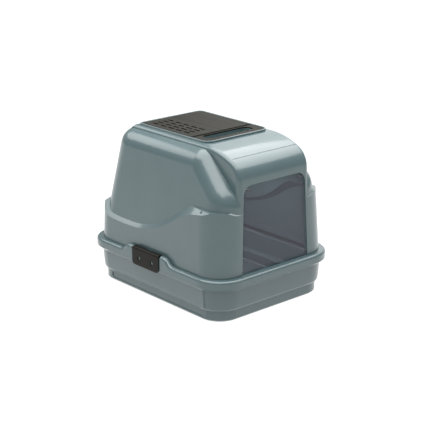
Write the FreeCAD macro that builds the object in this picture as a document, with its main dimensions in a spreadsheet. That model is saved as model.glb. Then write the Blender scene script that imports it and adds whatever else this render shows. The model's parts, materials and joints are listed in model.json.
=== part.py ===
import FreeCAD, Part
import math
import operator
import os
import Sketcher

# Cat litter box with hood: an open tray, a hood that lifts off it, a swinging see-through
# door, a hinged filter cover with a carbon filter under it, a folding carry handle and
# two side clips.  The origin is at the bottom centre, the door faces -Y and +Z is up.
# All sizes are in millimetres.
SIZES = {
    # tray
    "rim_length": 500.0,
    "rim_width": 395.0,
    "rim_corner": 76.0,
    "rim_rear_corner": 67.0,
    "rim_height": 108.5,
    "rim_face": 20.5,
    "rim_flare": 11.0,
    "rim_round": 7.5,
    "skin": 2.5,
    "ledge_end": 15.5,
    "ledge_side": 13.0,
    "wall_corner": 65.0,
    "wall_rear_corner": 60.0,
    "heel_height": 42.0,
    "waist_height": 33.0,
    "waist_inset": 1.2,
    "plinth_height": 26.0,
    "wall_bulge": 2.5,
    "ledge_inset": 4.5,
    "plinth_inset": 7.5,
    "plinth_step": 2.5,
    "plinth_thick": 3.5,
    "floor_inset": 13.0,
    "floor_round": 4.0,
    "floor_draft": 1.0,
    "panel_low": 8.0,
    "panel_height": 15.0,
    "panel_round": 7.0,
    "panel_front_margin": 57.5,
    "panel_rear_margin": 77.0,
    "panel_depth": 2.2,
    "channel_low": 5.5,
    "channel_height": 14.5,
    "channel_depth": 1.0,
    "channel_side_margin": 66.0,
    "channel_front_margin": 76.0,
    "side_plate": 0.5,
    "side_plate_low": 34.0,
    "side_plate_front_margin": 62.0,
    "side_plate_rear_margin": 70.0,
    # raised part of the rim beside each clip
    "saddle_rise": 16.5,
    "saddle_front_margin": 9.5,
    "saddle_rear_margin": 16.5,
    "saddle_front_ramp": 38.0,
    "saddle_rear_ramp": 37.0,
    "saddle_inset": 11.5,
    "seat_drop": 8.5,
    # hood
    "seat_gap": 0.3,
    "lip_depth": 12.0,
    "lip_gap": 1.0,
    "band_seat": 0.5,
    "band_rise": 153.5,
    "band_draft": 7.0,
    "band_front_corner": 70.0,
    "band_rear_corner": 53.0,
    "peg_hole": 2.4,
    "peg_hole_back": 70.0,
    "peg_hole_inset": 13.0,
    "wave_low_rise": 62.5,
    "wave_high_rise": 145.5,
    "wave_tail_rise": 78.5,
    "wave_tail_length": 106.0,
    "wave_flat_length": 38.0,
    "wave_crest_back": 56.0,
    "wave_share": 0.615,
    "shoulder_rise": 41.5,
    "shoulder_foot_side": 7.0,
    "shoulder_top_side": 45.0,
    "shoulder_foot_rear": 6.0,
    "shoulder_top_rear": 37.0,
    "shoulder_foot_front": 3.0,
    "shoulder_top_front": 10.0,
    "shoulder_corner": 56.0,
    "shoulder_round": 45.0,
    "slope_back": 115.0,
    "slope_run": 111.0,
    "slope_drop": 105.0,
    "slope_share": 1.5,
    "crown_height": 395.0,
    "crown_rise": 7.0,
    "crown_margin": 0.1,
    "crown_rear_inset": 78.0,
    "crown_back_slope": 12.0,
    "crown_depth": 66.0,
    "crown_front_back": 130.0,
    "brow_back": 42.0,
    "brow_drop": 19.0,
    "nose_low_drop": 68.0,
    "nose_round": 55.0,
    "brow_line": 2.0,
    "brow_line_rise": 1.4,
    "brow_line_length": 200.0,
    "face_lean": 7.0,
    "face_rise": 198.0,
    "crown_round": 11.0,
    # door
    "door_foot_gap": 1.3,
    "door_head": 79.0,
    "door_foot_width": 208.0,
    "door_top_width": 190.0,
    "door_corner": 22.0,
    "door_sheet": 2.0,
    "door_edge": 5.0,
    "door_edge_depth": 3.6,
    "door_gap": 2.5,
    "door_frame_depth": 9.0,
    "door_setback": 3.0,
    "sill_drop": 2.0,
    "hinge_drop": 8.0,
    "hinge_boss": 3.4,
    "hinge_boss_length": 16.0,
    "hinge_inset": 4.0,
    "hinge_pin": 2.0,
    "hinge_pin_hold": 13.0,
    "hinge_pin_length": 24.0,
    "hinge_lug_width": 11.0,
    "hinge_lug": 5.0,
    "running_gap": 0.08,
    # filter cover, filter and carry handle
    "cover_width": 190.0,
    "cover_rear_inset": 10.0,
    "cover_front_gap": 4.6,
    "cover_sheet": 4.6,
    "grip_sheet": 3.4,
    "edge_share": 0.44,
    "cover_corner": 9.0,
    "cover_gap": 0.3,
    "slot_length": 21.0,
    "slot_width": 6.5,
    "slot_pitch": 29.2,
    "slot_rows_pitch": 15.8,
    "slot_first_row": -76.7,
    "slot_front_inset": 36.0,
    "curb_width": 4.5,
    "curb_height": 4.6,
    "curb_gap": 1.6,
    "curb_round": 1.2,
    "pivot_pin": 1.2,
    "pivot_pin_hold": 11.0,
    "well_width": 160.0,
    "well_rear_inset": 20.0,
    "well_front_inset": 18.0,
    "well_depth": 22.0,
    "well_corner": 4.0,
    "filter_gap": 2.0,
    "filter_thick": 10.0,
    "grate_bar": 7.0,
    "grate_slot": 9.0,
    "grip_front_inset": 6.0,
    "grip_length": 53.4,
    "grip_bar": 17.0,
    "grip_leg": 21.0,
    "grip_corner": 18.0,
    "grip_pan_depth": 10.0,
    "grip_pan_inset": 5.0,
    "grip_pan_corner": 12.0,
    "hair": 0.05,
    "scallop_radius": 9.0,
    "scallop_depth": 2.2,
    "scallop_pitch": 24.0,
    # side clips
    "clip_centre": 9.3,
    "clip_width": 100.0,
    "clip_foot_drop": 26.5,
    "clip_sheet": 2.1,
    "clip_gap": 0.4,
    "clip_corner": 9.0,
    "clip_fold": 5.0,
    "clip_rise": 1.5,
    "clip_tail": 2.5,
    "clip_barrel": 3.0,
    "clip_axis_inset": 8.0,
    "clip_hole": 5.2,
    "clip_hole_drop": 7.5,
    "clip_hole_spacing": 48.0,
    "clip_pin": 1.5,
    "clip_lug_width": 22.0,
    "clip_lug_gap": 0.4,
    "clip_lug": 2.6,
    "clip_lug_arm": 1.6,
    "stud_radius": 3.4,
    "stud_reach": 0.25,
}

document = FreeCAD.newDocument("LitterBox")
sheet = document.addObject("Spreadsheet::Sheet", "Sizes")


# How many vent slots and finger scallops there are.
SLOT_ROWS = 4
SLOTS_IN_ROW = 5
SCALLOPS = 5


def fill_sheet():
    for row, (name, size) in enumerate(SIZES.items(), start=1):
        sheet.set(f"A{row}", name)
        sheet.set(f"B{row}", str(size))
        sheet.setAlias(f"B{row}", name)
    document.recompute()


class Size:
    """A number together with the sheet expression that gives it."""

    def __init__(self, text, number):
        self.text = text
        self.number = number

    def combine(self, sign, action, other):
        other = as_size(other)
        text = f"({self.text} {sign} {other.text})"
        return Size(text, action(self.number, other.number))

    def __add__(self, other):
        return self.combine("+", operator.add, other)

    def __sub__(self, other):
        return self.combine("-", operator.sub, other)

    def __mul__(self, other):
        return self.combine("*", operator.mul, other)

    def __truediv__(self, other):
        return self.combine("/", operator.truediv, other)

    def __neg__(self):
        return self * -1.0


class Sheet:
    """Every cell of the sheet as a Size, read by its alias."""

    def __getattr__(self, name):
        return Size(f"Sizes.{name}", float(SIZES[name]))


S = Sheet()
ZERO = Size("0.0", 0.0)


def as_size(amount):
    if isinstance(amount, Size):
        return amount
    return Size(f"({float(amount)})", float(amount))


def bind(thing, name, amount):
    thing.setExpression(name, as_size(amount).text)


# Places worked out from the sizes.
WALL_HALF_WIDTH = S.rim_width / 2 - S.ledge_side
WALL_HALF_LENGTH = S.rim_length / 2 - S.ledge_end
SADDLE_TOP = S.rim_height + S.saddle_rise
SADDLE_FRONT = S.clip_centre - S.clip_width / 2 - S.saddle_front_margin
SADDLE_REAR = S.clip_centre + S.clip_width / 2 + S.saddle_rear_margin
HOOD_FOOT = S.rim_height + S.seat_gap
BAND_HALF_WIDTH = WALL_HALF_WIDTH - S.band_seat
BAND_HALF_LENGTH = WALL_HALF_LENGTH - S.band_seat
BAND_CORNER = S.wall_corner - S.band_seat
BAND_REAR_CORNER = S.wall_rear_corner - S.band_seat
BAND_TOP = S.rim_height + S.band_rise
FRONT = -BAND_HALF_LENGTH
SHOULDER_FOOT = S.rim_height + S.shoulder_rise
SHOULDER_TOP = S.crown_height - S.crown_rise
CROWN_HALF_WIDTH = (S.cover_width / 2 + S.curb_gap + S.curb_width + S.crown_round
                    + S.crown_margin)
CROWN_FRONT = FRONT + S.crown_front_back
CROWN_REAR = BAND_HALF_LENGTH - S.crown_rear_inset
DOOR_FOOT = S.rim_height + S.door_foot_gap
DOOR_TOP = S.crown_height - S.door_head
HINGE_HEIGHT = DOOR_TOP - S.hinge_drop
HINGE_REACH = S.door_top_width / 2 - S.hinge_inset
GRIP_FRONT = CROWN_FRONT + S.grip_front_inset
GRIP_REAR = GRIP_FRONT + S.grip_length
COVER_FRONT = GRIP_REAR + S.cover_front_gap
COVER_REAR = CROWN_REAR - S.cover_rear_inset
COVER_BASE = S.crown_height + S.cover_gap
COVER_PIN_HEIGHT = COVER_BASE + S.cover_sheet / 2
GRIP_PIN_HEIGHT = COVER_BASE + S.grip_sheet / 2
COVER_AXIS = COVER_REAR - S.cover_sheet / 2
GRIP_AXIS = GRIP_REAR - S.grip_sheet / 2
PIVOTS = [(COVER_AXIS, COVER_PIN_HEIGHT), (GRIP_AXIS, GRIP_PIN_HEIGHT)]
WELL_FRONT = COVER_FRONT + S.well_front_inset
WELL_REAR = COVER_REAR - S.well_rear_inset
WELL_FLOOR = S.crown_height - S.well_depth
PIVOT_START = S.cover_width / 2 - S.pivot_pin_hold
PIVOT_LENGTH = S.pivot_pin_hold + S.curb_gap + S.curb_width - S.cover_gap
CLIP_AXIS_REACH = S.rim_width / 2 - S.clip_axis_inset
CLIP_TOP = SADDLE_TOP + S.clip_rise
CLIP_AXIS_HEIGHT = CLIP_TOP - S.clip_sheet - S.clip_barrel
CLIP_HOLE_HEIGHT = S.rim_height - S.clip_hole_drop
CLIP_FOOT = S.rim_height - S.clip_foot_drop


# ---------------------------------------------------------------- sketches and features


def origin_plane(body, role):
    for feature in body.Origin.OriginFeatures:
        if feature.Role == role:
            return feature
    raise ValueError(role)


def new_body(name):
    return document.addObject("PartDesign::Body", name)


def new_sketch(body, role, offset=ZERO):
    """A sketch on one of the body's own planes, moved along the plane's normal."""
    sketch = body.newObject("Sketcher::SketchObject", body.Name + "Sketch")
    sketch.AttachmentSupport = [(origin_plane(body, role), "")]
    sketch.MapMode = "FlatFace"
    bind(sketch, "AttachmentOffset.Base.z", offset)
    return sketch


def fix(sketch, kind, element, point, amount):
    """Hold one point at a driven distance from the sketch's origin."""
    constraint = Sketcher.Constraint(kind, -1, 1, element, point, amount.number)
    index = sketch.addConstraint(constraint)
    bind(sketch, f"Constraints[{index}]", amount)


def vector(point):
    return FreeCAD.Vector(point[0].number, point[1].number, 0)


def short_arc(start, end, centre_x):
    """The shorter arc between two points whose centre has the given x."""
    run = end.x - start.x
    rise = end.y - start.y
    total = end.dot(end) - start.dot(start) - 2 * centre_x * run
    centre = FreeCAD.Vector(centre_x, total / (2 * rise), 0)
    radius = centre.distanceToPoint(start)
    first = math.atan2(start.y - centre.y, start.x - centre.x)
    last = math.atan2(end.y - centre.y, end.x - centre.x)
    forward = (last - first) % (2 * math.pi) < math.pi
    if not forward:
        first, last = last, first
    circle = Part.Circle(centre, FreeCAD.Vector(0, 0, 1), radius)
    return Part.ArcOfCircle(circle, first, last), forward


def draw_outline(sketch, corners):
    """A closed outline.  A corner is (x, y), or (x, y, centre_x) where an arc arrives."""
    count = len(corners)
    ends = []
    for number in range(count):
        start = corners[number]
        end = corners[(number + 1) % count]
        if len(end) == 3:
            arc, forward = short_arc(vector(start), vector(end), end[2].number)
            element = sketch.addGeometry(arc, False)
            fix(sketch, "DistanceX", element, 3, end[2])
            ends.append((element, 1 if forward else 2, 2 if forward else 1))
        else:
            element = sketch.addGeometry(Part.LineSegment(vector(start), vector(end)), False)
            ends.append((element, 1, 2))
    for number in range(count):
        element, first, last = ends[number]
        follower, follower_first, _ = ends[(number + 1) % count]
        sketch.addConstraint(Sketcher.Constraint(
            "Coincident", element, last, follower, follower_first))
        fix(sketch, "DistanceX", element, first, as_size(corners[number][0]))
        fix(sketch, "DistanceY", element, first, as_size(corners[number][1]))


def draw_round_box(sketch, left, right, low, high, low_round, high_round):
    """A rectangle whose lower and upper pairs of corners have their own radii."""
    draw_outline(sketch, [
        (left + low_round, low, left + low_round),
        (right - low_round, low),
        (right, low + low_round, right - low_round),
        (right, high - high_round),
        (right - high_round, high, right - high_round),
        (left + high_round, high),
        (left, high - high_round, left + high_round),
        (left, low + low_round),
    ])


def draw_circle(sketch, x, y, radius):
    circle = Part.Circle(vector((x, y)), FreeCAD.Vector(0, 0, 1), radius.number)
    element = sketch.addGeometry(circle, False)
    fix(sketch, "DistanceX", element, 3, x)
    fix(sketch, "DistanceY", element, 3, y)
    index = sketch.addConstraint(Sketcher.Constraint("Radius", element, radius.number))
    bind(sketch, f"Constraints[{index}]", radius)


def add_feature(body, kind, label):
    return body.newObject("PartDesign::" + kind, body.Name + label)


def pad(body, sketch, length, symmetric=False):
    feature = add_feature(body, "Pad", "Pad")
    feature.Profile = sketch
    bind(feature, "Length", length)
    if symmetric:
        feature.SideType = "Symmetric"
    document.recompute()
    return feature


def pocket_through(body, sketch, lean=None):
    """Cut the sketch right through the body, straight or along a leaning direction."""
    before = body.Shape.Volume
    feature = add_feature(body, "Pocket", "Pocket")
    feature.Profile = sketch
    feature.SideType = "Symmetric"
    if lean:
        feature.UseCustomVector = True
        feature.Direction = FreeCAD.Vector(*lean)
        bind(feature, "Length", S.rim_width)
    else:
        feature.Type = "ThroughAll"
    document.recompute()
    if body.Shape.Volume > before - 1.0:
        raise RuntimeError(f"{feature.Name} cuts nothing")
    return feature


def loft(body, sketches):
    feature = add_feature(body, "AdditiveLoft", "Loft")
    feature.Profile = sketches[0]
    feature.Sections = sketches[1:]
    feature.Ruled = True
    document.recompute()
    return feature


def fillet(body, wanted, radius):
    """Round the edges for which wanted(edge) is true."""
    base = body.Tip
    names = []
    for number, edge in enumerate(base.Shape.Edges, start=1):
        if wanted(edge):
            names.append(f"Edge{number}")
    feature = add_feature(body, "Fillet", "Fillet")
    feature.Base = (base, names)
    bind(feature, "Radius", radius)
    document.recompute()
    return feature


def join(name, parts):
    fused = document.addObject("Part::MultiFuse", name)
    fused.Shapes = parts
    return fused


def cut(name, base, tool):
    result = document.addObject("Part::Cut", name)
    result.Base = base
    result.Tool = tool
    return result


def box(name, left, right, front, rear, low, high):
    block = document.addObject("Part::Box", name)
    bind(block, "Length", right - left)
    bind(block, "Width", rear - front)
    bind(block, "Height", high - low)
    bind(block, "Placement.Base.x", left)
    bind(block, "Placement.Base.y", front)
    bind(block, "Placement.Base.z", low)
    return block


def rod(name, axis, radius, length, x, y, z):
    """A cylinder along one axis that starts at the given point."""
    cylinder = document.addObject("Part::Cylinder", name)
    bind(cylinder, "Radius", radius)
    bind(cylinder, "Height", length)
    turn = {"X": ((0, 1, 0), 90), "Y": ((1, 0, 0), -90), "Z": ((0, 0, 1), 0)}[axis]
    cylinder.Placement.Rotation = FreeCAD.Rotation(FreeCAD.Vector(*turn[0]), turn[1])
    bind(cylinder, "Placement.Base.x", x)
    bind(cylinder, "Placement.Base.y", y)
    bind(cylinder, "Placement.Base.z", z)
    return cylinder


def section(body, height, half_width, front, rear, front_corner, rear_corner):
    """A horizontal round-cornered section of a body, for a loft or a pad."""
    sketch = new_sketch(body, "XY_Plane", height)
    draw_round_box(sketch, -half_width, half_width, front, rear, front_corner, rear_corner)
    return sketch


def edge_box(edge):
    return edge.BoundBox


def runs_along_x(edge):
    bounds = edge_box(edge)
    return bounds.YLength < 0.01 and bounds.ZLength < 0.01


# ---------------------------------------------------------------- tray


def rim_outline(body, height, inset):
    """The rim's outline, shrunk by inset."""
    half_length = S.rim_length / 2 - inset
    return section(body, height, S.rim_width / 2 - inset, -half_length, half_length,
                   S.rim_corner - inset, S.rim_rear_corner - inset)


def rim_block(body, inset, bottom, top):
    return pad(body, rim_outline(body, bottom, inset), top - bottom)


def wall_section(body, height, inset):
    """The outline of the tray's wall, shrunk by inset."""
    half_length = WALL_HALF_LENGTH - inset
    return section(body, height, WALL_HALF_WIDTH - inset, -half_length, half_length,
                   S.wall_corner - inset, S.wall_rear_corner - inset)


def bowl_loft(body, inset, foot_inset, lift):
    """The stepped wall from the floor to the rim, shrunk and lifted for the inside."""
    rim_low = S.rim_height - S.rim_face
    step_top = S.plinth_height + S.plinth_step
    sections = [
        wall_section(body, lift * 2, S.floor_inset + foot_inset - lift),
        wall_section(body, S.floor_round + lift, S.plinth_inset + foot_inset + S.floor_draft),
        wall_section(body, S.plinth_height + lift, S.plinth_inset + foot_inset),
        wall_section(body, step_top + lift, S.ledge_inset + foot_inset),
        wall_section(body, S.waist_height + lift, S.waist_inset + inset),
        wall_section(body, S.heel_height + lift, inset),
        wall_section(body, rim_low - S.rim_flare + lift, inset - S.wall_bulge),
        rim_outline(body, rim_low + lift, inset),
    ]
    return loft(body, sections)


def saddle_outline(body, low, high):
    """What is cut away above the rim: the rim rises in two S-curves beside each clip."""
    sketch = new_sketch(body, "YZ_Plane")
    far = S.rim_length
    middle = (low + high) / 2
    front_foot = SADDLE_FRONT - S.saddle_front_ramp
    rear_foot = SADDLE_REAR + S.saddle_rear_ramp
    front_turn = (front_foot + SADDLE_FRONT) / 2
    rear_turn = (rear_foot + SADDLE_REAR) / 2
    draw_outline(sketch, [
        (-far, low),
        (front_foot, low),
        (front_turn, middle, front_foot),
        (SADDLE_FRONT, high, SADDLE_FRONT),
        (SADDLE_REAR, high),
        (rear_turn, middle, SADDLE_REAR),
        (rear_foot, low, rear_foot),
        (far, low),
        (far, low + far),
        (-far, low + far),
    ])
    return sketch


def on_rim_top(edge):
    """Edges where the rim's outer face meets its top."""
    bounds = edge_box(edge)
    if bounds.ZMin < SIZES["rim_height"] - 0.01:
        return False
    rim_x = SIZES["rim_width"] / 2
    rim_y = SIZES["rim_length"] / 2
    reach = max(abs(bounds.XMin), abs(bounds.XMax)) > rim_x - 0.01
    return reach or max(abs(bounds.YMin), abs(bounds.YMax)) > rim_y - 0.01


def clip_seat(name):
    """A notch in each raised rim that leaves room for the clip's barrel."""
    half = S.clip_width / 2 + 1.0
    seat = SADDLE_TOP - S.seat_drop
    far = S.rim_width
    return box(name, -far, far, S.clip_centre - half, S.clip_centre + half, seat, seat + far)


def side_plates():
    """The flat part of each side wall, which stands proud of the round corners."""
    body = new_body("SidePlates")
    rim_low = S.rim_height - S.rim_face
    front = -S.rim_length / 2 + S.side_plate_front_margin
    rear = S.rim_length / 2 - S.side_plate_rear_margin
    levels = [
        (S.side_plate_low, S.waist_inset),
        (S.heel_height, ZERO),
        (rim_low - S.rim_flare, -S.wall_bulge),
        (rim_low, -S.wall_bulge),
    ]
    sections = []
    for height, inset in levels:
        half = WALL_HALF_WIDTH - inset + S.side_plate
        sections.append(section(body, height, half, front, rear, S.skin, S.skin))
    loft(body, sections)
    return body


def plinth_panels():
    """What is pressed in from each side of the plinth: one long panel with round ends."""
    body = new_body("PanelBar")
    sketch = new_sketch(body, "YZ_Plane")
    draw_round_box(sketch, -S.rim_length / 2 + S.panel_front_margin,
                   S.rim_length / 2 - S.panel_rear_margin, S.panel_low,
                   S.panel_low + S.panel_height, S.panel_round, S.panel_round)
    pad(body, sketch, S.rim_width, symmetric=True)
    half = WALL_HALF_WIDTH - S.plinth_inset - S.panel_depth
    core = box("PanelCore", -half, half, -S.rim_length, S.rim_length, ZERO, S.rim_height)
    return cut("PlinthPanels", body, core)


def corner_channels():
    """A shallow channel round each corner of the plinth."""
    low = S.channel_low
    high = S.channel_low + S.channel_height
    band = new_body("ChannelBand")
    pad(band, wall_section(band, low, ZERO), S.channel_height)
    core = new_body("ChannelCore")
    pad(core, wall_section(core, low, S.plinth_inset + S.channel_depth), S.channel_height)
    side_y = S.rim_length / 2 - S.channel_side_margin
    front_x = S.rim_width / 2 - S.channel_front_margin
    far = S.rim_length
    sides = box("ChannelSides", -far, far, -side_y, side_y, low, high)
    ends = box("ChannelEnds", -front_x, front_x, -far, far, low, high)
    return cut("CornerChannels", band, join("ChannelKept", [core, sides, ends]))


def make_tray():
    rim_low = S.rim_height - S.rim_face
    outside = new_body("TrayOutside")
    bowl_loft(outside, ZERO, ZERO, ZERO)
    rim_block(outside, ZERO, rim_low, SADDLE_TOP)
    pocket_through(outside, saddle_outline(outside, S.rim_height, SADDLE_TOP))
    fillet(outside, on_rim_top, S.rim_round)

    inside = new_body("TrayInside")
    bowl_loft(inside, S.skin, S.skin + S.plinth_thick, S.skin / 2)
    rim_block(inside, S.skin, rim_low + S.skin / 2, S.rim_height - S.skin)

    neck = new_body("TrayNeck")
    pad(neck, wall_section(neck, rim_low + S.skin, S.skin), S.rim_face)

    clearing = new_body("TrayClearing")
    rim_block(clearing, S.saddle_inset, S.rim_height, SADDLE_TOP + S.skin)

    hollow = new_body("SaddleHollow")
    roof = SADDLE_TOP - S.seat_drop - S.skin
    rim_block(hollow, S.skin, rim_low + S.skin, roof)
    pocket_through(hollow, saddle_outline(hollow, S.rim_height - S.skin, roof))
    core = new_body("SaddleCore")
    rim_block(core, S.saddle_inset + S.skin, rim_low, SADDLE_TOP)
    ring = cut("SaddleRing", hollow, core)

    removed = join("TrayRemoved", [
        inside, neck, clearing, ring, clip_seat("ClipSeat"), plinth_panels(), corner_channels(),
    ])
    shell = cut("TrayShell", join("TrayBlock", [outside, side_plates()]), removed)
    tray = join("tray", [shell] + make_studs())
    tray.Label = "tray"
    return tray


def make_studs():
    """Two low round studs on each side of the rim, behind the clip's holes."""
    studs = []
    length = S.rim_width + S.stud_reach * 2
    for number, side in enumerate((-0.5, 0.5)):
        y = S.clip_centre + S.clip_hole_spacing * side
        name = f"Stud{number}"
        bar = rod(name + "Bar", "X", S.stud_radius, length, -length / 2, y, CLIP_HOLE_HEIGHT)
        inner = S.rim_width / 2 - S.skin / 2
        space = box(name + "Space", -inner, inner, -S.rim_length, S.rim_length,
                    ZERO, S.rim_height)
        studs.append(cut(name, bar, space))
    return studs


# ---------------------------------------------------------------- hood


def face_at(height):
    """How far forward the leaning front face is at a height."""
    return FRONT + S.face_lean * (height - HOOD_FOOT) / S.face_rise


def wave_outline(band, inset, side):
    """What is cut away above one side: the top dips beside the clips and rises in front."""
    sketch = new_sketch(band, "YZ_Plane", (BAND_HALF_WIDTH - S.band_draft - inset) * side)
    low = S.rim_height + S.wave_low_rise - inset
    high = S.rim_height + S.wave_high_rise - inset
    tail = S.rim_height + S.wave_tail_rise - inset
    crest = FRONT + S.wave_crest_back
    flat_rear = BAND_HALF_LENGTH - S.wave_tail_length
    flat_front = flat_rear - S.wave_flat_length
    turn_y = flat_front + (crest - flat_front) * S.wave_share
    turn_z = low + (high - low) * S.wave_share
    far = BAND_HALF_LENGTH * 2
    end = BAND_HALF_LENGTH + S.skin
    draw_outline(sketch, [
        (-far, high),
        (crest, high),
        (turn_y, turn_z, crest),
        (flat_front, low, flat_front),
        (flat_rear, low),
        (end, tail, flat_rear),
        (end, low + far),
        (-far, low + far),
    ])
    return sketch


def end_outline(band, inset):
    """What is cut away above the band's front and above its rear."""
    sketch = new_sketch(band, "YZ_Plane")
    high = S.rim_height + S.wave_high_rise - inset
    tail = S.rim_height + S.wave_tail_rise - inset
    front = face_at(BAND_TOP) + inset
    rear = BAND_HALF_LENGTH - S.band_draft - inset
    reach = S.band_rise
    far = BAND_HALF_LENGTH * 2
    draw_outline(sketch, [
        (-far, high),
        (front, high),
        (front + reach, high + reach),
        (rear - reach, high + reach),
        (rear - reach, tail + reach),
        (rear, tail),
        (far, tail),
        (far, high + far),
        (-far, high + far),
    ])
    return sketch


def band_solid(name, inset):
    """The hood's lower band, whose top slopes up from its wavy edge to the shoulder."""
    band = new_body(name)
    low_half = BAND_HALF_WIDTH - inset
    length = BAND_HALF_LENGTH
    top = BAND_TOP - inset
    loft(band, [
        section(band, HOOD_FOOT, low_half, FRONT + inset, length - inset,
                BAND_CORNER - inset, BAND_REAR_CORNER - inset),
        section(band, top, low_half - S.band_draft, face_at(top) + inset,
                length - S.band_draft - inset,
                S.band_front_corner - inset, S.band_rear_corner - inset),
    ])
    for side in (-1, 1):
        pocket_through(band, wave_outline(band, inset, side), (-side, 0, 1))
    pocket_through(band, end_outline(band, inset))
    return band


def shoulder_solid(name, inset):
    """The upper body: leaning sides, a sloping front and wide rounded edges."""
    shoulder = new_body(name)
    corner = S.shoulder_corner - inset
    foot = SHOULDER_FOOT - inset
    top = SHOULDER_TOP - inset
    half = BAND_HALF_WIDTH - inset
    front = FRONT + inset
    rear = BAND_HALF_LENGTH - inset
    loft(shoulder, [
        section(shoulder, foot, half - S.shoulder_foot_side, front + S.shoulder_foot_front,
                rear - S.shoulder_foot_rear, corner, corner),
        section(shoulder, top, half - S.shoulder_top_side, front + S.shoulder_top_front,
                rear - S.shoulder_top_rear, corner, corner),
    ])
    sketch = new_sketch(shoulder, "YZ_Plane")
    start_y = FRONT + S.slope_back + inset / 2
    reach = S.slope_run * S.slope_share
    fall = S.slope_drop * S.slope_share
    draw_outline(sketch, [
        (start_y - reach, top - fall),
        (start_y + S.slope_run, top + S.slope_drop),
        (start_y - reach, top + S.slope_drop),
    ])
    pocket_through(shoulder, sketch)

    def rounded(edge):
        if edge_box(edge).ZMin > top.number - 0.01:
            return True
        for vertex in edge.Vertexes:
            below = (start_y.number - vertex.Y) * SIZES["slope_drop"] / SIZES["slope_run"]
            if abs(top.number - below - vertex.Z) > 0.05:
                return False
        return True

    fillet(shoulder, rounded, S.shoulder_round - inset)
    return shoulder


def crown_solid(name, inset):
    """The raised middle strip that runs over the top and down the front."""
    crown = new_body(name)
    sketch = new_sketch(crown, "YZ_Plane")
    top = S.crown_height - inset
    front = FRONT + inset
    rear = CROWN_REAR - inset
    nose_low = S.crown_height - S.nose_low_drop
    nose = face_at(nose_low) + inset
    draw_outline(sketch, [
        (front, HOOD_FOOT),
        (FRONT + S.crown_depth, HOOD_FOOT),
        (CROWN_FRONT, top - S.crown_depth),
        (rear, top - S.crown_depth),
        (rear + S.crown_back_slope, top - S.crown_back_slope),
        (rear, top),
        (CROWN_FRONT, top),
        (front + S.brow_back, top - S.brow_drop, CROWN_FRONT),
        (nose, nose_low, nose + S.nose_round - inset),
    ])
    pad(crown, sketch, (CROWN_HALF_WIDTH - inset) * 2, symmetric=True)
    foremost = CROWN_FRONT.number - 1.0
    floor_z = HOOD_FOOT.number + 0.1

    def long_edge(edge):
        """The outer edges of the top and of the front."""
        bounds = edge_box(edge)
        if bounds.XLength > 0.01 or bounds.YMin > rear.number - 0.1:
            return False
        on_top = bounds.ZMin > top.number - 0.1
        on_brow = bounds.YMax < CROWN_FRONT.number + 0.1 and bounds.ZMin > nose_low.number - 0.1
        on_face = bounds.YMax < foremost and bounds.ZMax < nose_low.number + 0.1
        return on_top or on_brow or (on_face and bounds.ZMax > floor_z and
                                     bounds.YLength < S.crown_depth.number / 2)

    fillet(crown, long_edge, S.crown_round - inset)
    return crown


def ring(name, bottom, height, outer_inset, inner_inset):
    """A flat ring between two outlines of the tray's wall."""
    body = new_body(name)
    pad(body, wall_section(body, bottom, outer_inset), height)
    pocket_through(body, wall_section(body, bottom, inner_inset))
    return body


def hood_foot():
    """The web that rests on the rim and the lip that reaches down inside it."""
    outer = S.skin + S.lip_gap
    inner = outer + S.skin
    web = ring("HoodWeb", HOOD_FOOT, S.skin, S.band_seat * 2, inner)
    lip = ring("HoodLip", HOOD_FOOT - S.lip_depth, S.lip_depth + S.skin, outer, inner)
    return [web, lip]


def place_on_face(body):
    """Put a body's own origin on the door's hinge axis, leaning with the front face."""
    body.Placement.Rotation = FreeCAD.Rotation(FreeCAD.Vector(1, 0, 0), -1)
    lean = f"-atan({(S.face_lean / S.face_rise).text})"
    body.setExpression("Placement.Rotation.Angle", lean)
    bind(body, "Placement.Base.y", face_at(HINGE_HEIGHT) + S.door_setback)
    bind(body, "Placement.Base.z", HINGE_HEIGHT)


def door_outline(sketch, grow, foot):
    """The door's outline about its hinge axis, grown all round."""
    foot_half = S.door_foot_width / 2 + grow
    top_half = S.door_top_width / 2 + grow
    corner = S.door_corner + grow
    top = S.hinge_drop + grow
    taper = (foot_half - top_half) / (DOOR_TOP - DOOR_FOOT)
    side = top_half + taper * corner
    draw_outline(sketch, [
        (-foot_half, foot - HINGE_HEIGHT),
        (foot_half, foot - HINGE_HEIGHT),
        (side, top - corner),
        (side - corner, top, side - corner),
        (corner - side, top),
        (-side, top - corner, corner - side),
    ])


def door_slab(name, grow, foot, depth, offset=ZERO):
    slab = new_body(name)
    sketch = new_sketch(slab, "XZ_Plane", offset)
    door_outline(sketch, grow, foot)
    pad(slab, sketch, depth, symmetric=True)
    place_on_face(slab)
    return slab


def hinge_rod(name, radius, start, length, side):
    """A cylinder along the door's hinge axis on one side."""
    left = start if side > 0 else -(start + length)
    return rod(name, "X", radius, length, left, face_at(HINGE_HEIGHT) + S.door_setback, HINGE_HEIGHT)


def door_frame():
    """A return all round the doorway, with a lug on each side for the door's pins."""
    offset = -(S.door_frame_depth / 2 - S.door_setback)
    foot = HOOD_FOOT + S.skin / 2
    frame = door_slab("DoorFrame", S.door_gap + S.skin, foot, S.door_frame_depth, offset)
    parts = [frame]
    axis_y = face_at(HINGE_HEIGHT) + S.door_setback
    for side in (-1, 1):
        inner = HINGE_REACH
        outer = HINGE_REACH + S.hinge_lug_width + S.skin
        left = inner if side > 0 else -outer
        right = outer if side > 0 else -inner
        parts.append(box(f"HingeLug{side + 1}", left, right, axis_y - S.skin / 2,
                         axis_y + S.hinge_lug, HINGE_HEIGHT - S.hinge_lug, HINGE_HEIGHT + S.hinge_lug))
    return parts


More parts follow.
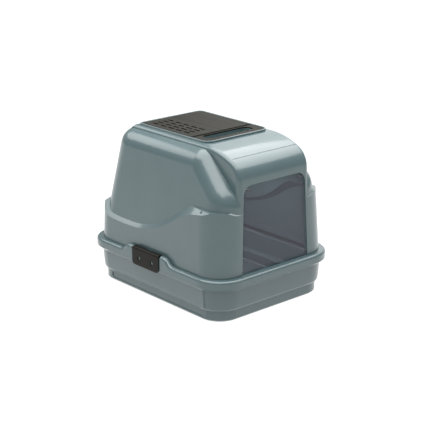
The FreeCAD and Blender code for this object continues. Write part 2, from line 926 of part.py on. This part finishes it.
def pan(name, half_width, front, rear, floor, corner):
    """The walls and the hollow of a round-cornered box let into the crown."""
    top = S.crown_height
    walls = new_body(name + "Walls")
    pad(walls, section(walls, floor - S.skin, half_width + S.skin, front - S.skin,
                       rear + S.skin, corner + S.skin, corner + S.skin),
        top - floor + S.skin / 2)
    hollow = new_body(name + "Hollow")
    pad(hollow, section(hollow, floor, half_width, front, rear, corner, corner),
        top - floor + S.skin)
    return walls, hollow


def grate_slots():
    """Slots through the floor of the filter well, in two columns."""
    slots = []
    pitch = S.grate_bar + S.grate_slot
    room = WELL_REAR - WELL_FRONT - S.grate_bar
    count = int(room.number / pitch.number)
    for number in range(count):
        front = WELL_FRONT + S.grate_bar + pitch * number
        for side in (-1, 1):
            near = S.grate_bar / 2
            wide = S.well_width / 2 - S.grate_bar
            left = near if side > 0 else -wide
            right = wide if side > 0 else -near
            slots.append(box(f"GrateSlot{number}x{side + 1}", left, right, front,
                             front + S.grate_slot, WELL_FLOOR - S.skin * 2,
                             WELL_FLOOR + S.skin))
    return slots


def curb():
    """A low lip round the cover and the handle, which also holds their pins."""
    inner_half = S.cover_width / 2 + S.curb_gap
    front = GRIP_FRONT - S.curb_gap
    rear = COVER_REAR + S.curb_gap
    bottom = S.crown_height - S.skin
    body = new_body("Curb")
    front_corner = S.grip_corner + S.curb_gap
    rear_corner = S.cover_corner + S.curb_gap
    outline = section(body, bottom, inner_half + S.curb_width, front - S.curb_width,
                      rear + S.curb_width, front_corner + S.curb_width,
                      rear_corner + S.curb_width)
    pad(body, outline, S.curb_height + S.skin)
    hole = section(body, bottom, inner_half, front, rear, front_corner, rear_corner)
    pocket_through(body, hole)
    top = S.crown_height + S.curb_height - 0.01

    def on_top(edge):
        return edge_box(edge).ZMin > top.number

    fillet(body, on_top, S.curb_round)
    return body


def pivot_rod(name, radius, length, side, axis):
    """A cylinder along the cover's or the handle's axis, from inside its edge outwards."""
    axis_y, height = axis
    left = PIVOT_START if side > 0 else -(PIVOT_START + length)
    return rod(name, "X", radius, length, left, axis_y, height)


def clip_lug(side):
    """The lug on the hood's side that carries a clip's pin."""
    near = BAND_HALF_WIDTH - S.skin
    left = near if side > 0 else -CLIP_AXIS_REACH
    right = CLIP_AXIS_REACH if side > 0 else -near
    front = S.clip_centre - S.clip_lug_width / 2
    rear = S.clip_centre + S.clip_lug_width / 2
    height = CLIP_AXIS_HEIGHT
    block = box(f"ClipLugBlock{side + 1}", left, right, front, rear,
                height - S.clip_lug, height - S.clip_lug + S.clip_lug_arm)
    nose = rod(f"ClipLugNose{side + 1}", "Y", S.clip_lug, S.clip_lug_width,
               CLIP_AXIS_REACH * side, front, height)
    return [block, nose]


def small_bores():
    """The holes for the pins, and a peg hole through the band's top on each side."""
    bores = []
    for side in (-1, 1):
        bores.append(hinge_rod(f"HingeBore{side + 1}", S.hinge_pin + S.running_gap,
                               HINGE_REACH - S.hinge_pin_hold,
                               S.hinge_pin_length + S.running_gap, side))
        for number, axis in enumerate(PIVOTS):
            bores.append(pivot_rod(f"PivotBore{number}x{side + 1}",
                                   S.pivot_pin + S.running_gap,
                                   PIVOT_LENGTH + S.cover_gap * 2, side, axis))
        bores.append(rod(f"ClipBore{side + 1}", "Y", S.clip_pin + S.running_gap, S.clip_width,
                         CLIP_AXIS_REACH * side, S.clip_centre - S.clip_width / 2,
                         CLIP_AXIS_HEIGHT))
        bores.append(rod(f"PegHole{side + 1}", "Z", S.peg_hole, S.band_draft * 4,
                         (BAND_HALF_WIDTH - S.peg_hole_inset) * side,
                         FRONT + S.peg_hole_back,
                         S.rim_height + S.wave_high_rise - S.band_draft * 2))
    return bores


def brow_line():
    """A fine groove across the crown where its front begins to turn down."""
    y = FRONT + S.brow_back
    z = S.crown_height - S.brow_drop + S.brow_line_rise
    length = S.brow_line_length
    return rod("BrowLine", "X", S.brow_line, length, -length / 2, y, z)


def make_hood():
    outside = join("HoodOutside", [
        band_solid("BandOutside", ZERO),
        shoulder_solid("ShoulderOutside", ZERO),
        crown_solid("CrownOutside", ZERO),
    ])
    inside = join("HoodInside", [
        band_solid("BandInside", S.skin),
        shoulder_solid("ShoulderInside", S.skin),
        crown_solid("CrownInside", S.skin),
    ])
    shell = cut("HoodShell", outside, inside)

    well_walls, well = pan("Well", S.well_width / 2, WELL_FRONT, WELL_REAR, WELL_FLOOR,
                           S.well_corner)
    grip_half = S.cover_width / 2 - S.grip_leg - S.grip_pan_inset
    grip_floor = S.crown_height - S.grip_pan_depth
    grip_walls, grip = pan("GripPan", grip_half, GRIP_FRONT + S.grip_bar,
                           GRIP_REAR - S.cover_sheet, grip_floor, S.grip_pan_corner)
    added = [shell, well_walls, grip_walls, curb()] + hood_foot() + door_frame()
    for side in (-1, 1):
        added += clip_lug(side)

    sill = HOOD_FOOT - S.sill_drop
    doorway = door_slab("Doorway", S.door_gap, sill, S.crown_depth)
    removed = [well, grip, doorway, brow_line()] + grate_slots() + small_bores()
    hood = cut("hood", join("HoodParts", added), join("HoodCuts", removed))
    hood.Label = "hood"
    return hood


# ---------------------------------------------------------------- door


def make_door():
    """A clear sheet with a thicker edge and two hinge bosses, and its two pins."""
    sheet_slab = door_slab("DoorSheet", ZERO, DOOR_FOOT, S.door_sheet)
    rim_slab = door_slab("DoorEdgeOutside", ZERO, DOOR_FOOT, S.door_edge_depth)
    space = door_slab("DoorEdgeInside", -S.door_edge, DOOR_FOOT + S.door_edge, S.crown_depth)
    parts = [sheet_slab, cut("DoorEdge", rim_slab, space)]
    bores = []
    pins = []
    for side, word in ((-1, "left"), (1, "right")):
        boss_start = HINGE_REACH - S.hinge_boss_length
        parts.append(hinge_rod(f"HingeBoss{side + 1}", S.hinge_boss, boss_start,
                               S.hinge_boss_length, side))
        pin_start = HINGE_REACH - S.hinge_pin_hold
        bores.append(hinge_rod(f"BossBore{side + 1}", S.hinge_pin, pin_start,
                               S.hinge_pin_hold * 2, side))
        pin = hinge_rod(f"door_pin_{word}", S.hinge_pin, pin_start, S.hinge_pin_length, side)
        pin.Label = f"door_pin_{word}"
        pins.append(pin)
    door = cut("door_flap", join("DoorParts", parts), join("DoorBores", bores))
    door.Label = "door_flap"
    return [door] + pins


# ---------------------------------------------------------------- top of the hood


def cover_slots(body):
    """Rows of rounded vent slots on the left half of the cover."""
    half_slot = S.slot_width / 2
    round_end = half_slot - S.hair
    for number in range(SLOT_ROWS):
        centre = S.slot_first_row + S.slot_rows_pitch * number
        sketch = new_sketch(body, "XY_Plane", COVER_BASE)
        front = COVER_FRONT + S.slot_front_inset - S.slot_length / 2
        draw_round_box(sketch, centre - half_slot, centre + half_slot, front,
                       front + S.slot_length, round_end, round_end)
        slot = pocket_through(body, sketch)
        row = add_feature(body, "LinearPattern", "Row")
        row.Originals = [slot]
        row.Direction = (origin_plane(body, "Y_Axis"), [""])
        bind(row, "Length", S.slot_pitch * (SLOTS_IN_ROW - 1))
        row.Occurrences = SLOTS_IN_ROW
        body.Tip = row
        document.recompute()


def round_both_faces(body, radius):
    bottom = body.Shape.BoundBox.ZMin
    top = body.Shape.BoundBox.ZMax

    def on_face(edge):
        bounds = edge_box(edge)
        flat = bounds.ZLength < 0.01
        return flat and (abs(bounds.ZMin - bottom) < 0.01 or abs(bounds.ZMin - top) < 0.01)

    fillet(body, on_face, radius)


def pinned(name, body, axis):
    """A plate with a pin pressed into each side, on the axis that it turns about."""
    bores = []
    pins = []
    for side, word in ((-1, "left"), (1, "right")):
        bores.append(pivot_rod(f"{name}Bore{side + 1}", S.pivot_pin, PIVOT_LENGTH, side, axis))
        pin = pivot_rod(f"{name}_pin_{word}", S.pivot_pin, PIVOT_LENGTH, side, axis)
        pin.Label = f"{name}_pin_{word}"
        pins.append(pin)
    plate = cut(name, body, join(name + "Bores", bores))
    plate.Label = name
    return [plate] + pins


def make_cover():
    body = new_body("CoverPlate")
    small = S.cover_sheet / 2
    outline = section(body, COVER_BASE, S.cover_width / 2, COVER_FRONT, COVER_REAR,
                      small, S.cover_corner)
    pad(body, outline, S.cover_sheet)
    round_both_faces(body, S.cover_sheet * S.edge_share)
    cover_slots(body)
    return pinned("filter_cover", body, PIVOTS[0])


def make_handle():
    """A flat folding frame with finger scallops along the inside of its front bar."""
    body = new_body("HandleFrame")
    half = S.cover_width / 2
    outline = section(body, COVER_BASE, half, GRIP_FRONT, GRIP_REAR, S.grip_corner,
                      S.grip_sheet)
    pad(body, outline, S.grip_sheet)
    round_both_faces(body, S.grip_sheet * S.edge_share)
    front = GRIP_FRONT + S.grip_bar
    rear = GRIP_REAR - S.cover_sheet
    corner = (rear - front) / 2 - S.hair
    hole_half = half - S.grip_leg
    hole = section(body, COVER_BASE, hole_half, front, rear, corner, corner)
    pocket_through(body, hole)
    scallops = new_sketch(body, "XY_Plane", COVER_BASE)
    for number in range(SCALLOPS):
        draw_circle(scallops, S.scallop_pitch * (number - (SCALLOPS - 1) / 2),
                    front + S.scallop_radius - S.scallop_depth, S.scallop_radius)
    pocket_through(body, scallops)
    return pinned("carry_handle", body, PIVOTS[1])


def make_filter():
    body = new_body("carbon_filter")
    gap = S.filter_gap
    outline = section(body, WELL_FLOOR, S.well_width / 2 - gap, WELL_FRONT + gap,
                      WELL_REAR - gap, gap * 2, gap * 2)
    pad(body, outline, S.filter_thick)
    body.Label = "carbon_filter"
    return [body]


# ---------------------------------------------------------------- clips


def clip_plate(side):
    """The bent sheet: a plate in front of the rim that folds back over it."""
    body = new_body(f"ClipPlate{side + 1}")
    outer = S.rim_width / 2 + S.clip_gap + S.clip_sheet
    inner = outer - S.clip_sheet
    bend = outer - S.clip_fold
    under = CLIP_TOP - S.clip_sheet
    bend_z = CLIP_TOP - S.clip_fold
    tail = CLIP_AXIS_REACH - S.clip_tail
    sketch = new_sketch(body, "XZ_Plane", -S.clip_centre)
    shape = [
        (inner, CLIP_FOOT),
        (outer, CLIP_FOOT),
        (outer, bend_z),
        (bend, CLIP_TOP, bend),
        (tail, CLIP_TOP),
        (tail, under),
        (bend, under),
        (inner, bend_z, bend),
    ]
    if side < 0:
        shape = [(-corner[0],) + corner[1:2] + tuple(-x for x in corner[2:])
                 for corner in shape]
    draw_outline(sketch, shape)
    pad(body, sketch, S.clip_width, symmetric=True)
    foot = CLIP_FOOT.number + 0.01
    fillet(body, lambda edge: runs_along_x(edge) and edge_box(edge).ZMax < foot,
           S.clip_corner)
    return body


def clip_barrel(side):
    """The tube round the clip's pin and the web that joins it to the sheet."""
    front = S.clip_centre - S.clip_width / 2
    reach = CLIP_AXIS_REACH * side
    half = S.clip_barrel / 2
    tube = rod(f"ClipBarrel{side + 1}", "Y", S.clip_barrel, S.clip_width, reach, front,
               CLIP_AXIS_HEIGHT)
    web = box(f"ClipWeb{side + 1}", reach - half, reach + half, front, front + S.clip_width,
              CLIP_AXIS_HEIGHT, CLIP_TOP - S.clip_sheet / 2)
    return [tube, web]


def make_clip(side, word):
    """A side clip with its pin."""
    front = S.clip_centre - S.clip_width / 2
    height = CLIP_AXIS_HEIGHT
    reach = CLIP_AXIS_REACH * side
    bore = rod(f"ClipPinBore{side + 1}", "Y", S.clip_pin, S.clip_width, reach, front, height)
    lug_half = S.clip_lug_width / 2 + S.clip_lug_gap
    play = S.clip_barrel + S.clip_lug_gap
    notch = box(f"ClipNotch{side + 1}", reach - play, reach + play, S.clip_centre - lug_half,
                S.clip_centre + lug_half, height - play, height + S.clip_barrel)
    tail_end = (CLIP_AXIS_REACH - S.clip_tail * 2) * side
    over_lug = box(f"ClipTailNotch{side + 1}", reach if side < 0 else tail_end,
                   tail_end if side < 0 else reach, S.clip_centre - lug_half,
                   S.clip_centre + lug_half, height, CLIP_TOP + S.clip_sheet)
    removed = [bore, notch, over_lug]
    start = S.rim_width / 2 * side - S.clip_sheet * 2
    for end in (-0.5, 0.5):
        removed.append(rod(f"ClipHole{side + 1}x{int(end * 2) + 1}", "X", S.clip_hole,
                           S.clip_sheet * 4, start,
                           S.clip_centre + S.clip_hole_spacing * end, CLIP_HOLE_HEIGHT))
    clip = cut(f"clip_{word}", join(f"ClipParts{side + 1}", [clip_plate(side)] + clip_barrel(side)),
               join(f"ClipCuts{side + 1}", removed))
    clip.Label = f"clip_{word}"
    pin = rod(f"clip_pin_{word}", "Y", S.clip_pin, S.clip_width, reach, front, height)
    pin.Label = f"clip_pin_{word}"
    return [clip, pin]


# ---------------------------------------------------------------- checks and files


def check_and_export(nodes):
    document.recompute()
    for thing in document.Objects:
        if "Invalid" in thing.State or "Error" in thing.State:
            raise RuntimeError(f"{thing.Name} failed: {thing.State}")
    for node in nodes:
        if node.Shape.isNull() or not node.Shape.isValid():
            raise RuntimeError(f"{node.Label} has no valid shape")
    os.makedirs("parts", exist_ok=True)
    for node in nodes:
        node.Shape.exportStep(f"parts/{node.Label}.step")
        print(f"{node.Label}: {len(node.Shape.Solids)} solid, {node.Shape.Volume / 1000:.1f} cm3")


def main():
    fill_sheet()
    nodes = [make_tray(), make_hood()]
    nodes += make_door()
    nodes += make_cover()
    nodes += make_handle()
    nodes += make_filter()
    nodes += make_clip(-1, "left")
    nodes += make_clip(1, "right")
    check_and_export(nodes)


main()
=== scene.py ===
import json
import math

import bpy
from mathutils import Matrix, Vector

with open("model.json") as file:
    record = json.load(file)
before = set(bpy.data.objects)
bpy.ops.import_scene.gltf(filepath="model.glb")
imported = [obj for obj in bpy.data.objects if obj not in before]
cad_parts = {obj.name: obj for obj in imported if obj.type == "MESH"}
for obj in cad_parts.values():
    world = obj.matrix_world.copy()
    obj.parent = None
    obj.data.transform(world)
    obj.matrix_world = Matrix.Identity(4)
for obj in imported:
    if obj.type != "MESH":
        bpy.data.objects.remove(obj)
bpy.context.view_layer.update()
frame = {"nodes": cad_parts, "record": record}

# Camera: angles in degrees and lengths in metres, but the lens and sensor in millimetres.
AZIMUTH = -41.56
ELEVATION = 18.18
DISTANCE = 3.0028
SIDE_STEP = 0.01208
RISE = -0.0232
AIM_HEIGHT = 0.2
LENS_MM = 101.82
SENSOR_MM = 36.0
FAR_CLIP = 50.0

# Softboxes: place, the point each faces, its two sides in metres, and its power in watts.
# cabin_fill is a weak light inside the hood, so that the cabin shows through the smoked flap.
OBJECT_MIDDLE = (0.0, 0.0, AIM_HEIGHT)
SOFTBOXES = {
    "overhead": ((0.15, -0.1, 2.4), (0.15, -0.1, 0.0), (4.4, 3.3), 198.0),
    "back_right": ((2.5, 1.1, 1.5), OBJECT_MIDDLE, (2.6, 2.0), 16.0),
    "back_left": ((-0.8, 1.9, 1.7), OBJECT_MIDDLE, (1.4, 0.8), 11.0),
    "cabin_fill": ((0.0, -0.02, 0.36), (0.0, 0.06, 0.0), (0.14, 0.14), 1.1),
}

# The sky's strength at the horizon and overhead, then the floor's side in metres and its glow.
HORIZON_STRENGTH = 0.3
ZENITH_STRENGTH = 0.42
FLOOR_SIDE = 24.0
FLOOR_GLOW = 0.94

WHITE = (1.0, 1.0, 1.0)

# The two tones that each material's colour varies between.
FLOOR_TONES = (0.13, 0.13, 0.13), (0.15, 0.15, 0.15)
SHELL_TONES = (0.058, 0.096, 0.102), (0.070, 0.111, 0.118)
BRUSHED_TONES = (0.007, 0.007, 0.005), (0.024, 0.023, 0.019)
CLIP_TONES = (0.005, 0.004, 0.003), (0.009, 0.008, 0.006)
SMOKED_TONES = (0.075, 0.070, 0.105), (0.100, 0.095, 0.140)
PIN_TONES = (0.035, 0.035, 0.035), (0.060, 0.060, 0.060)
FELT_TONES = (0.004, 0.004, 0.004), (0.022, 0.021, 0.020)

# The middle of a noise texture's range, where most of its values lie.
NOISE_LOW = 0.3
NOISE_HIGH = 0.7


# ---------------------------------------------------------------- node trees


class Nodes:
    """Short calls for building one node tree."""

    def __init__(self, tree):
        self.tree = tree

    def add(self, kind, **settings):
        node = self.tree.nodes.new(kind)
        for name, value in settings.items():
            setattr(node, name, value)
        return node

    def join(self, source, target):
        self.tree.links.new(source, target)

    def place(self, stretch):
        """Object coordinates, in metres, scaled along each axis."""
        source = self.add("ShaderNodeTexCoord")
        mapping = self.add("ShaderNodeMapping")
        mapping.inputs["Scale"].default_value = stretch
        self.join(source.outputs["Object"], mapping.inputs["Vector"])
        return mapping.outputs["Vector"]

    def noise(self, stretch, detail=2.0, roughness=0.5):
        """Noise with about this many features a metre along each axis."""
        node = self.add("ShaderNodeTexNoise")
        node.inputs["Scale"].default_value = 1.0
        node.inputs["Detail"].default_value = detail
        node.inputs["Roughness"].default_value = roughness
        self.join(self.place(stretch), node.inputs["Vector"])
        return node.outputs["Fac"]

    def ramp(self, value, low, high, first=0.0, last=1.0):
        """Map a value from one range to another."""
        node = self.add("ShaderNodeMapRange")
        node.inputs["From Min"].default_value = low
        node.inputs["From Max"].default_value = high
        node.inputs["To Min"].default_value = first
        node.inputs["To Max"].default_value = last
        self.join(value, node.inputs["Value"])
        return node.outputs["Result"]

    def blend(self, value, tones):
        node = self.add("ShaderNodeMix", data_type="RGBA")
        node.inputs["A"].default_value = (*tones[0], 1.0)
        node.inputs["B"].default_value = (*tones[1], 1.0)
        self.join(value, node.inputs["Factor"])
        return node.outputs["Result"]

    def bump(self, height, strength, distance):
        node = self.add("ShaderNodeBump")
        node.inputs["Strength"].default_value = strength
        node.inputs["Distance"].default_value = distance
        self.join(height, node.inputs["Height"])
        return node.outputs["Normal"]


def even(count):
    """The same number of features a metre along every axis."""
    return (count, count, count)


def new_material(name, fixed):
    """A material with its constant sockets set, its nodes and its shader's sockets."""
    material = bpy.data.materials.new(name)
    material.use_nodes = True
    sockets = material.node_tree.nodes["Principled BSDF"].inputs
    for socket, value in fixed.items():
        sockets[socket].default_value = value
    return material, Nodes(material.node_tree), sockets


# ---------------------------------------------------------------- camera, floor and light


def add_camera():
    azimuth = math.radians(AZIMUTH)
    elevation = math.radians(ELEVATION)
    back = Vector((math.sin(azimuth) * math.cos(elevation),
                   -math.cos(azimuth) * math.cos(elevation),
                   math.sin(elevation)))
    right = Vector((math.cos(azimuth), math.sin(azimuth), 0.0))
    up = back.cross(right)
    place = Vector(OBJECT_MIDDLE) + back * DISTANCE + right * SIDE_STEP + up * RISE
    data = bpy.data.cameras.new("camera")
    data.lens = LENS_MM
    data.sensor_width = SENSOR_MM
    data.clip_end = FAR_CLIP
    camera = bpy.data.objects.new("camera", data)
    turn = Matrix((right, up, back)).transposed().to_4x4()
    camera.matrix_world = Matrix.Translation(place) @ turn
    bpy.context.collection.objects.link(camera)
    bpy.context.scene.camera = camera


def add_softbox(name, place, target, sides, power):
    data = bpy.data.lights.new(name, "AREA")
    data.shape = "RECTANGLE"
    data.size = sides[0]
    data.size_y = sides[1]
    data.energy = power
    light = bpy.data.objects.new(name, data)
    light.location = place
    aim = Vector(target) - Vector(place)
    light.rotation_euler = aim.to_track_quat("-Z", "Y").to_euler()
    bpy.context.collection.objects.link(light)


def add_world():
    """A plain white studio, a little brighter overhead than at the horizon."""
    world = bpy.data.worlds.new("studio")
    world.use_nodes = True
    nodes = Nodes(world.node_tree)
    source = nodes.add("ShaderNodeTexCoord")
    split = nodes.add("ShaderNodeSeparateXYZ")
    nodes.join(source.outputs["Generated"], split.inputs["Vector"])
    level = nodes.ramp(split.outputs["Z"], 0.0, 1.0, HORIZON_STRENGTH, ZENITH_STRENGTH)
    background = world.node_tree.nodes["Background"]
    background.inputs["Color"].default_value = (*WHITE, 1.0)
    nodes.join(level, background.inputs["Strength"])
    bpy.context.scene.world = world


def add_floor():
    """A plain floor, white by its own glow. Its dark surface shows only a faint shadow."""
    bpy.ops.mesh.primitive_plane_add(size=FLOOR_SIDE)
    floor = bpy.context.object
    floor.name = "studio_floor"
    material, nodes, sockets = new_material("floor_white", {
        "Roughness": 0.9,
        "Specular IOR Level": 0.0,
        "Emission Color": (*WHITE, 1.0),
        "Emission Strength": FLOOR_GLOW,
    })
    nodes.join(nodes.blend(nodes.noise(even(3.0)), FLOOR_TONES), sockets["Base Color"])
    floor.data.materials.append(material)


# ---------------------------------------------------------------- materials


def shell_material():
    """Blue-grey injection-moulded plastic, satin to glossy."""
    material, nodes, sockets = new_material("shell", {
        "IOR": 1.5,
        "Coat Weight": 0.6,
        "Coat Roughness": 0.1,
    })
    tone = nodes.noise(even(18.0), detail=3.0)
    patch = nodes.noise(even(11.0))
    grain = nodes.noise(even(1100.0))
    nodes.join(nodes.blend(tone, SHELL_TONES), sockets["Base Color"])
    nodes.join(nodes.ramp(patch, 0.0, 1.0, first=0.26, last=0.40), sockets["Roughness"])
    nodes.join(nodes.bump(grain, strength=0.04, distance=0.0001), sockets["Normal"])
    return material


def brushed_material():
    """Dark warm grey plastic with fine lines along the box's length."""
    material, nodes, sockets = new_material("brushed_dark", {
        "IOR": 1.4,
        "Specular IOR Level": 0.2,
    })
    lines = nodes.noise((420.0, 5.0, 120.0), detail=3.0, roughness=0.65)
    streaks = nodes.noise((90.0, 1.6, 40.0))
    both = nodes.add("ShaderNodeMath", operation="ADD")
    nodes.join(lines, both.inputs[0])
    nodes.join(streaks, both.inputs[1])
    tone = nodes.ramp(both.outputs[0], low=0.75, high=1.25)
    nodes.join(nodes.blend(tone, BRUSHED_TONES), sockets["Base Color"])
    nodes.join(nodes.ramp(lines, NOISE_LOW, NOISE_HIGH, first=0.48, last=0.62), sockets["Roughness"])
    nodes.join(nodes.bump(lines, strength=0.25, distance=0.0004), sockets["Normal"])
    return material


def clip_material():
    """Smooth, very dark brown plastic."""
    material, nodes, sockets = new_material("clip_dark", {"Specular IOR Level": 0.14})
    tone = nodes.noise(even(60.0), detail=3.0)
    grain = nodes.noise(even(1400.0))
    nodes.join(nodes.blend(tone, CLIP_TONES), sockets["Base Color"])
    nodes.join(nodes.ramp(grain, 0.0, 1.0, first=0.28, last=0.42), sockets["Roughness"])
    nodes.join(nodes.bump(grain, strength=0.05, distance=0.0001), sockets["Normal"])
    return material


def smoked_material():
    """Clear smoked plastic: a faint haze of uneven depth under a strong gloss."""
    material, nodes, sockets = new_material("smoked_clear", {
        "IOR": 1.5,
        "Coat Weight": 1.0,
        "Coat Roughness": 0.03,
    })
    tone = nodes.noise(even(7.0))
    nodes.join(nodes.blend(tone, SMOKED_TONES), sockets["Base Color"])
    nodes.join(nodes.ramp(tone, 0.0, 1.0, first=0.05, last=0.12), sockets["Roughness"])
    nodes.join(nodes.ramp(tone, 0.0, 1.0, first=0.15, last=0.21), sockets["Alpha"])
    return material


def pin_material():
    """Grey plastic, finely banded along X, so that pins lying that way look turned."""
    material, nodes, sockets = new_material("pin_grey", {})
    rings = nodes.noise((1500.0, 90.0, 90.0))
    nodes.join(nodes.blend(rings, PIN_TONES), sockets["Base Color"])
    nodes.join(nodes.ramp(rings, NOISE_LOW, NOISE_HIGH, first=0.35, last=0.5), sockets["Roughness"])
    return material


def felt_material():
    """Black carbon felt with a rough, fibrous surface."""
    material, nodes, sockets = new_material("carbon_felt", {})
    fibres = nodes.noise(even(700.0), detail=6.0, roughness=0.75)
    tone = nodes.ramp(fibres, low=0.35, high=0.65)
    nodes.join(nodes.blend(tone, FELT_TONES), sockets["Base Color"])
    nodes.join(nodes.ramp(fibres, NOISE_LOW, NOISE_HIGH, first=0.85, last=1.0), sockets["Roughness"])
    nodes.join(nodes.bump(fibres, strength=0.9, distance=0.0015), sockets["Normal"])
    return material


def dress_nodes():
    """Give every CAD node the look of its record slot."""
    looks = {
        "shell_plastic": shell_material(),
        "dark_plastic": brushed_material(),
        "clip_plastic": clip_material(),
        "smoked_plastic": smoked_material(),
        "pin_plastic": pin_material(),
        "filter_felt": felt_material(),
    }
    slots = {part["node"]: part["material_slot"] for part in frame["record"]["subparts"]}
    for node, thing in frame["nodes"].items():
        thing.data.materials.clear()
        thing.data.materials.append(looks[slots[node]])


# Plain colour management, so that a white floor stays white.
bpy.context.scene.view_settings.view_transform = "Standard"
add_camera()
add_world()
add_floor()
for name, settings in SOFTBOXES.items():
    add_softbox(name, *settings)
dress_nodes()
